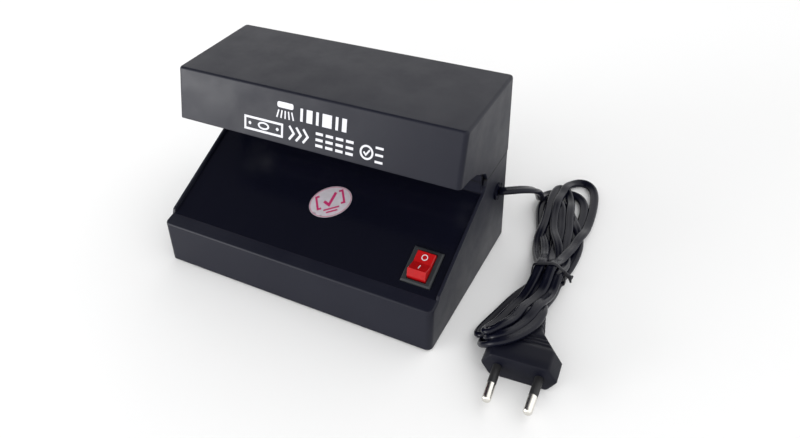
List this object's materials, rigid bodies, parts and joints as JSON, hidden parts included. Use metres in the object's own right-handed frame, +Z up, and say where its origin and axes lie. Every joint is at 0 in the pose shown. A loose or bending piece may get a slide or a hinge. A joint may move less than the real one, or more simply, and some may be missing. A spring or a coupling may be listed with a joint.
{
  "type": "counterfeit bill detector",
  "caption": "Desk ultraviolet banknote detector: sloping bed under an overhanging lamp head, rocker switch, and a flat mains lead tied in a hank with a two-pin plug.",
  "frame": {"origin": "middle of the case's footprint, on the surface it stands on", "axes": "+X along the case's width towards the lead's side, +Y to the rear, +Z up"},
  "size_m": [0.213, 0.1752, 0.0962],
  "materials": {
    "case_black": "satin moulded plastic",
    "plate_black": "moulded plastic",
    "rubber_black": "matt rubber",
    "screw_steel": "zinc plated",
    "uv_glass": "dark violet filter glass",
    "cap_aluminium": "drawn",
    "contact_brass": "bare",
    "holder_white": "moulded",
    "reflector_aluminium": "bright rolled sheet",
    "board_tan": "phenolic board",
    "ferrite_grey": "sintered",
    "coil_yellow": "tape wrap",
    "capacitor_blue": "sleeve",
    "transistor_black": "epoxy",
    "resistor_beige": "lacquer",
    "bezel_black": "satin moulded",
    "rocker_red": "glossy translucent moulded",
    "sticker_silver": "printed foil",
    "wire_white": "PVC",
    "wire_red": "PVC",
    "wire_brown": "PVC",
    "cord_black": "PVC sheath",
    "tie_black": "coated wire",
    "plug_black": "moulded PVC",
    "sleeve_black": "moulded",
    "pin_nickel": "nickel plated"
  },
  "bodies": {
    "case": {"base_shell": "case_black", "head_shell": "case_black", "base_plate": "plate_black", "rubber_feet": "rubber_black", "case_screws": "screw_steel", "board_screws": "screw_steel", "lamp_holder_left": "holder_white", "lamp_holder_right": "holder_white", "reflector": "reflector_aluminium", "ballast_board": "board_tan", "ballast_core": "ferrite_grey", "ballast_coil": "coil_yellow", "ballast_capacitors": "capacitor_blue", "ballast_transistors": "transistor_black", "ballast_resistors": "resistor_beige", "switch_frame": "bezel_black", "switch_terminals": "contact_brass", "inspection_sticker": "sticker_silver", "lamp_wires": "wire_white", "switch_wire": "wire_red", "mains_wires": "wire_brown", "cord_bushing": "cord_black", "mains_cord_inner": "cord_black", "cord_lead": "cord_black", "cord_hank": "cord_black", "cord_tie": "tie_black", "plug_body": "plug_black", "plug_sleeves": "sleeve_black", "plug_pins": "pin_nickel"},
    "rocker": {"switch_rocker": "rocker_red"},
    "lamp": {"uv_tube": "uv_glass", "tube_caps": "cap_aluminium", "tube_pins": "contact_brass"}
  },
  "joints": [
    {"name": "rocker_tilt", "type": "hinge", "parent": "case", "child": "rocker", "pos_m": [0.064, -0.02619, 0.0303], "axis": [1, 0, 0], "range_deg": [0, 32]},
    {"name": "tube_twist", "type": "hinge", "parent": "case", "child": "lamp", "pos_m": [0, 0.004, 0.082], "axis": [1, 0, 0], "range_deg": [0, 90]}
  ]
}
